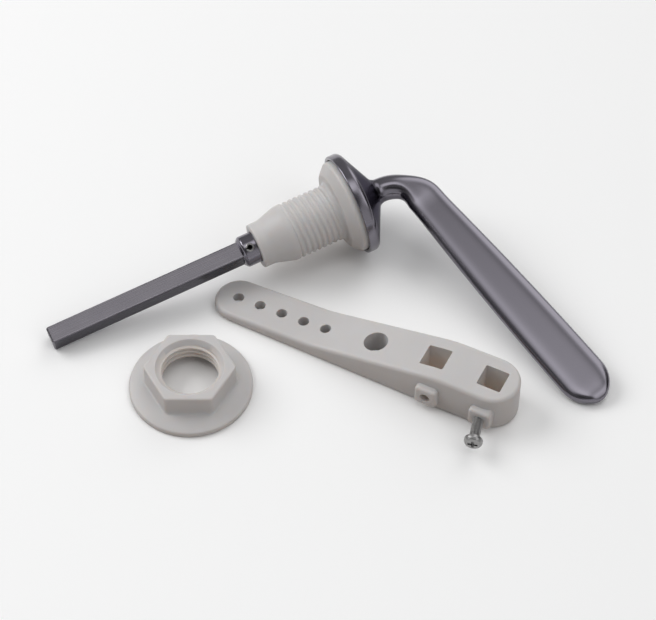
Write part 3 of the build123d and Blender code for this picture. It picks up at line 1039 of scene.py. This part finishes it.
def arm_body():
    """The arm without its holes, its top and foot edges rounded over."""
    flat = bpy.data.curves.new("arm", "CURVE")
    flat.dimensions = "2D"
    flat.fill_mode = "BOTH"
    flat.bevel_depth = ARM_EDGE_R
    flat.bevel_resolution = ARM_EDGE_STEPS
    flat.offset = -ARM_EDGE_R
    flat.extrude = ARM_HEAD_T / 2 - ARM_EDGE_R
    plan = arm_plan()
    line = flat.splines.new("POLY")
    line.points.add(len(plan) - 1)
    for point, (x, y) in zip(line.points, plan):
        point.co = (x, y, 0, 1)
    line.use_cyclic_u = True
    mesh = settled(link(flat, "arm"))
    mesh.transform(Matrix.Translation((0, 0, ARM_HEAD_T / 2)))
    work = bmesh.new()
    work.from_mesh(mesh)
    bmesh.ops.remove_doubles(work, verts=work.verts, dist=MERGE_GAP)
    for x in np.arange(-ARM_NARROW_R + ARM_SLICE_FROM, ARM_CENTRES + ARM_WIDE_R, ARM_SLICE):
        whole = work.verts[:] + work.edges[:] + work.faces[:]
        bmesh.ops.bisect_plane(work, geom=whole, plane_co=(x, 0, 0), plane_no=(1, 0, 0), dist=SLICE_GAP)
    for vert in work.verts:
        if vert.co.z > ARM_HEAD_T / 2:
            vert.co.z += arm_top(vert.co.x) - ARM_HEAD_T
    bmesh.ops.recalc_face_normals(work, faces=work.faces)
    work.to_mesh(mesh)
    work.free()
    return mesh


def arm_bosses():
    """Blocks on the arm's side that take the clamp screws, their faces' edges rounded over."""
    bosses = []
    for at in BOSS_AT:
        rings = [at_height(rounded_square((0, 0), BOSS_SIDE, BOSS_EDGE_R), -BOSS_STAND)]
        for t in np.linspace(0, math.pi / 2, BOSS_EDGE_POINTS):
            inset = BOSS_FACE_R * (1 - math.cos(t))
            face = rounded_square((0, 0), BOSS_SIDE - 2 * inset, BOSS_EDGE_R - inset)
            rings.append(at_height(face, BOSS_STAND - BOSS_FACE_R * (1 - math.sin(t))))
        boss = skin("boss", rings)
        boss.transform(Matrix.Translation((at, -ARM_WIDE_R, BOSS_Z)) @ lying)
        bosses.append(boss)
    return bosses


def arm_drills():
    """Cutters for the link holes, the round hole, the square sockets and the screw holes."""
    drills = []
    holes = [(i * LINK_PITCH, LINK_HOLE_R, DRILL_COLUMNS) for i in range(LINK_COUNT)]
    holes.append((ROUND_HOLE_AT, ROUND_HOLE_R, ROUND_HOLE_COLUMNS))
    for at, r, columns in holes:
        drill = round_bar("hole_drill", r, 4 * ARM_HEAD_T, columns)
        drill.transform(Matrix.Translation((at, 0, 0)))
        drills.append(drill)
    for at in SOCKET_AT:
        square = rounded_square((at, 0), SOCKET_SIDE, SOCKET_CORNER_R)
        drills.append(skin("socket_cutter", [at_height(square, z) for z in SOCKET_CUT_Z]))
    screw_hole_r = SCREW_R + SCREW_HOLE_SLACK
    screw_hole_length = 2 * (ARM_WIDE_R + BOSS_STAND)
    for at, lean in zip(BOSS_AT, (0, SCREW_LEAN)):
        drill = round_bar("screw_drill", screw_hole_r, screw_hole_length, SMALL_BORE_COLUMNS)
        drill.transform(screw_seat(at, lean))
        drills.append(drill)
    return drills


def soft_mouths(mesh, width):
    """Rounds the sharp edges that the cutters left."""
    work = bmesh.new()
    work.from_mesh(mesh)
    bmesh.ops.remove_doubles(work, verts=work.verts, dist=MERGE_GAP)
    sharp = []
    for edge in work.edges:
        if len(edge.link_faces) == 2 and edge.is_convex and edge.calc_face_angle() > MOUTH_ANGLE:
            sharp.append(edge)
    bmesh.ops.bevel(
        work,
        geom=sharp,
        offset=width,
        offset_type="OFFSET",
        segments=MOUTH_STEPS,
        profile=0.5,
        affect="EDGES",
        clamp_overlap=True,
    )
    work.to_mesh(mesh)
    work.free()
    return mesh


arm_mesh = joined(arm_body(), arm_bosses(), "UNION")
arm_mesh = joined(arm_mesh, arm_drills(), "DIFFERENCE")
arm_mesh = soft_mouths(arm_mesh, ARM_MOUTH_R)
arm = piece(arm_mesh, "arm", arm_place, nylon, "bush_and_loose_pieces", "lever_arm")
socket_reach = SOCKET_SIDE / 2 + ARM_MOUTH_R / 3


def in_hollow(spot):
    """Whether a point of the arm is on the walls of a square socket or of a screw hole."""
    near = any(abs(spot.x - at) < socket_reach for at in SOCKET_AT)
    in_socket = near and abs(spot.y) < socket_reach and spot.z < arm_top(spot.x) - ARM_MOUTH_R / 2
    off_screw = min(math.hypot(spot.x - at, spot.z - BOSS_Z) for at in BOSS_AT)
    below_face = spot.y + ARM_WIDE_R + BOSS_STAND
    in_screw_hole = off_screw < SCREW_R + ARM_MOUTH_R / 2 and ARM_MOUTH_R / 3 < below_face < ARM_WIDE_R
    return in_socket or in_screw_hole


# Painted light: the walls of the square sockets and screw holes get the lighter, creamy colour in full
mark_painted_hollow_light(arm, arm_place, in_hollow, share=1.0)


# Clamp screw, turned about its own axis with the head at the positive end
def cross_cutter():
    """Cross recess, narrower at its bottom."""
    cutters = []
    for span_x, span_y in ((RECESS_SPAN, RECESS_W), (RECESS_W, RECESS_SPAN)):
        rings = []
        levels = ((HEAD_H - RECESS_DEPTH, RECESS_TAPER), (HEAD_H + RECESS_OVERCUT, RECESS_FLARE))
        for z, share in levels:
            x, y = span_x / 2 * share, span_y / 2 * share
            rings.append(np.array([(x, y, z), (-x, y, z), (-x, -y, z), (x, -y, z)]))
        cutters.append(skin("recess", rings))
    return cutters


thread_from = SCREW_POINT - SCREW_LENGTH
screw_point = [(-SCREW_LENGTH, SCREW_POINT_R), (thread_from, SCREW_R)]
head = rounded(
    [
        (SCREW_NECK_X, SCREW_R, 0),
        (0, SCREW_R, HEAD_SEAT_R),
        (0, HEAD_R, HEAD_RIM_R),
        (HEAD_SIDE, HEAD_R, HEAD_SHOULDER_R),
        (*HEAD_SHOULDER, HEAD_SHOULDER_R),
        (HEAD_H, HEAD_FLAT_R, HEAD_TOP_R),
        (HEAD_H, HEAD_CAP_R, 0),
    ]
)
screw_outline, screw_rows = with_thread_rows(
    screw_point, thread_from + SCREW_ROW_GAP, SCREW_THREAD_END_X, SCREW_R, SCREW_PITCH, head
)
screw_mesh = skin("screw", lathe_rings(screw_outline, SCREW_COLUMNS), thread_rows=screw_rows)
screw_mesh = threaded(screw_mesh, SCREW_PITCH, -SCREW_DEPTH, SCREW_GROOVE_X, SCREW_THREAD_FORM, steel)
screw_mesh.transform(upright)
screw_mesh = joined(screw_mesh, cross_cutter(), "DIFFERENCE")
piece(screw_mesh, "screw", screw_place, steel, "screw", "clamp_screw")

# Bar and pin keep the solids' own meshes
for node, material in (("spindle_bar", bar_plate), ("roll_pin", steel)):
    solid = frame["nodes"][node]
    solid.data.materials.clear()
    solid.data.materials.append(material)

# Stage: pale floor, which shows white but throws only a warm grey light back on the object
FLOOR_HALF = 4.0
floor_corners = [(x * FLOOR_HALF, y * FLOOR_HALF, 0) for x, y in ((-1, -1), (1, -1), (1, 1), (-1, 1))]
floor_mesh = bpy.data.meshes.new("floor")
floor_mesh.from_pydata(floor_corners, [], [(0, 1, 2, 3)])
floor_paint, floor_tree, floor_shader, _ = finish("matt_white_floor")
ray = add(floor_tree, "ShaderNodeLightPath").outputs
shown = ray["Is Camera Ray"]
for other in ("Is Glossy Ray", "Is Transmission Ray"):
    shown = add(floor_tree, "ShaderNodeMath", {0: shown, 1: ray[other]}, operation="MAXIMUM").outputs[0]
floor_tone = add(
    floor_tree,
    "ShaderNodeMix",
    {0: shown, 6: linear("#B3A79E"), 7: linear("#FCFCFC")},
    data_type="RGBA",
)
floor_tree.links.new(floor_tone.outputs[2], floor_shader.inputs["Base Color"])
floor_shader.inputs["Roughness"].default_value = 0.9
floor_shader.inputs["Specular IOR Level"].default_value = 0.0
floor_mesh.materials.append(floor_paint)
floor = link(floor_mesh)

# Camera at the photograph's view
AIM_FROM_NUT = Vector((45.5, 32.5, 0)) * MM
VIEW_DISTANCE = 0.7832
VIEW_ELEVATION = math.radians(51.97)
VIEW_LENS = 125.9
VIEW_SENSOR = 36.0
aim = Vector((nut_centre.x, nut_centre.y, 0)) + AIM_FROM_NUT
camera_data = bpy.data.cameras.new("camera")
camera_data.lens = VIEW_LENS
camera_data.sensor_width = VIEW_SENSOR
camera_data.sensor_fit = "HORIZONTAL"
camera = link(camera_data)
camera.location = aim + VIEW_DISTANCE * Vector((0, -math.cos(VIEW_ELEVATION), math.sin(VIEW_ELEVATION)))
camera.rotation_euler = (aim - camera.location).to_track_quat("-Z", "Y").to_euler()
bpy.context.scene.camera = camera

# Soft box to the left
FILL_AZIMUTH = math.radians(160)
FILL_ELEVATION = math.radians(40)
FILL_DISTANCE = 2.0
fill_data = bpy.data.lights.new("left_fill", "AREA")
fill_data.shape = "RECTANGLE"
fill_data.size = 1.4
fill_data.size_y = 1.2
fill_data.energy = 21
fill_flat = math.cos(FILL_ELEVATION)
fill_way = Vector(
    (fill_flat * math.cos(FILL_AZIMUTH), fill_flat * math.sin(FILL_AZIMUTH), math.sin(FILL_ELEVATION))
)
fill = link(fill_data)
fill.location = aim + fill_way * FILL_DISTANCE
fill.rotation_euler = (-fill_way).to_track_quat("-Z", "Y").to_euler()

# Room that the chrome mirrors: each part's direction, cosines where it begins and is full, and strengths
LIT_PARTS = {
    "side walls": [((1, 0, 0), -0.4, 0.4, 0.18, 0.38)],
    "far wall": [((0, 1, 0), 0.05, 0.6, 0.0, 0.16)],
    "near wall": [((0.3, -0.95, 0.1), 0.75, 0.95, 0.0, 0.35)],
    "window behind on the right": [((0.5, 0.54, 0.68), 0.84, 0.97, 0.0, 1.25)],
    "ceiling, dimmer to both sides": [
        ((0, -0.3, 0.954), 0.82, 0.97, 0.0, 1.65),
        ((1, 0, 0), 0.06, 0.25, 1.0, 0.34),
        ((1, 0, 0), -0.4, -0.06, 0.6, 1.0),
    ],
    "glow on the right": [((0.6, -0.28, 0.75), 0.89, 0.99, 0.0, 1.1)],
}
DARK_CARDS = {
    "card by the camera": ((0.0, -0.58, 0.81), 0.9, 0.95, 1.0, 0.1),
    "card low on the right": ((0.85, 0.25, 0.45), 0.88, 0.94, 1.0, 0.15),
}
world = bpy.data.worlds.new("room")
bpy.context.scene.world = world
world.use_nodes = True
room = world.node_tree
room.nodes.clear()
looking = add(room, "ShaderNodeTexCoord").outputs["Generated"]


def room_part(name, towards, begin, full, dim, bright):
    """Strength that goes softly from dim to bright as the direction looked in nears the part's own."""
    aimed = {0: looking, 1: Vector(towards).normalized()}
    near = add(room, "ShaderNodeVectorMath", aimed, operation="DOT_PRODUCT").outputs["Value"]
    limits = {"Value": near, "From Min": begin, "From Max": full, "To Min": dim, "To Max": bright}
    return add(room, "ShaderNodeMapRange", limits, interpolation_type="SMOOTHSTEP", label=name).outputs[0]


strength = 0.0
for name, factors in LIT_PARTS.items():
    lit = 1.0
    for factor in factors:
        product = {0: lit, 1: room_part(name, *factor)}
        lit = add(room, "ShaderNodeMath", product, operation="MULTIPLY").outputs[0]
    strength = add(room, "ShaderNodeMath", {0: strength, 1: lit}, operation="ADD").outputs[0]
for name, card in DARK_CARDS.items():
    shaded = {0: strength, 1: room_part(name, *card)}
    strength = add(room, "ShaderNodeMath", shaded, operation="MULTIPLY").outputs[0]
sky = add(room, "ShaderNodeBackground", {"Color": (1, 1, 1, 1), "Strength": strength})
add(room, "ShaderNodeOutputWorld", {"Surface": sky.outputs[0]})

bpy.context.scene.view_settings.view_transform = "Standard"
